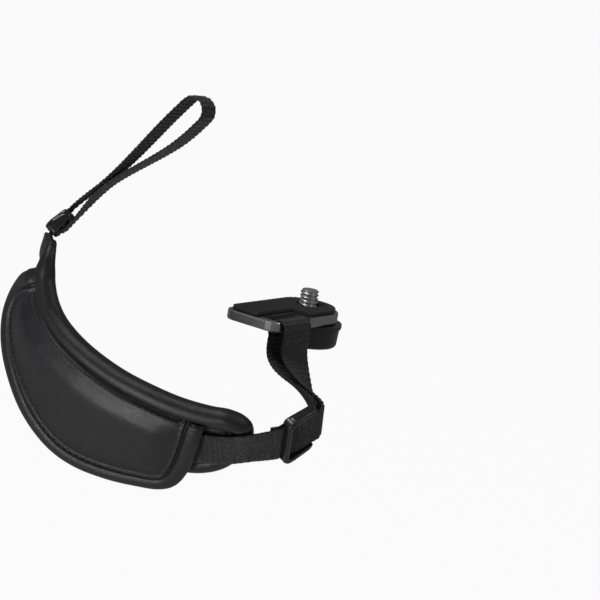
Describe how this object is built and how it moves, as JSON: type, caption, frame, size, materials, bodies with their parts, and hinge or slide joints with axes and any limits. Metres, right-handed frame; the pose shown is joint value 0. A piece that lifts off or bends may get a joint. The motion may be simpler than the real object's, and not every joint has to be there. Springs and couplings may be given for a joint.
{
  "type": "camera hand grip strap",
  "caption": "Padded leather hand strap for a camera: a curved back-of-hand pad with an over-flap on adjustable webbing, with a screw-on base plate and a webbing loop for the strap ring.",
  "frame": {"origin": "on the top face of the base plate's seat pad, on the plate's centreline, 12 mm from the tripod screw's axis", "axes": "+Z out of the seat, up into the body that it screws to; +X from the plate's slot end towards its screw; -Y towards the lens side"},
  "size_m": [0.0949, 0.1031, 0.1307],
  "materials": {
    "pad_leather": "satin fine-grained black leather",
    "rim_leather": "satin black leather rolled over a cord",
    "foam": "closed-cell foam",
    "lining": "soft matt black microfibre",
    "webbing": "ribbed black woven webbing",
    "black_plastic": "moulded, semi-gloss",
    "grey_metal": "grey satin",
    "seat_rubber": "matt black",
    "black_metal": "black semi-gloss",
    "steel": "plain"
  },
  "bodies": {
    "root": {"pad_cover": "pad_leather", "pad_foam": "foam", "pad_lining": "lining", "pad_rim": "rim_leather", "flap_leather": "pad_leather", "flap_lining": "lining", "flap_rim": "rim_leather", "lower_webbing": "webbing", "upper_webbing": "webbing", "lower_slider": "black_plastic", "upper_slider": "black_plastic", "base_plate": "grey_metal", "seat_pad": "seat_rubber"},
    "screw": {"tripod_screw": "black_metal", "retaining_ring": "steel"}
  },
  "joints": [
    {"name": "screw_turn", "type": "hinge", "parent": "root", "child": "screw", "pos_m": [0.012, 0, 0], "axis": [0, 0, 1], "continuous": true}
  ]
}
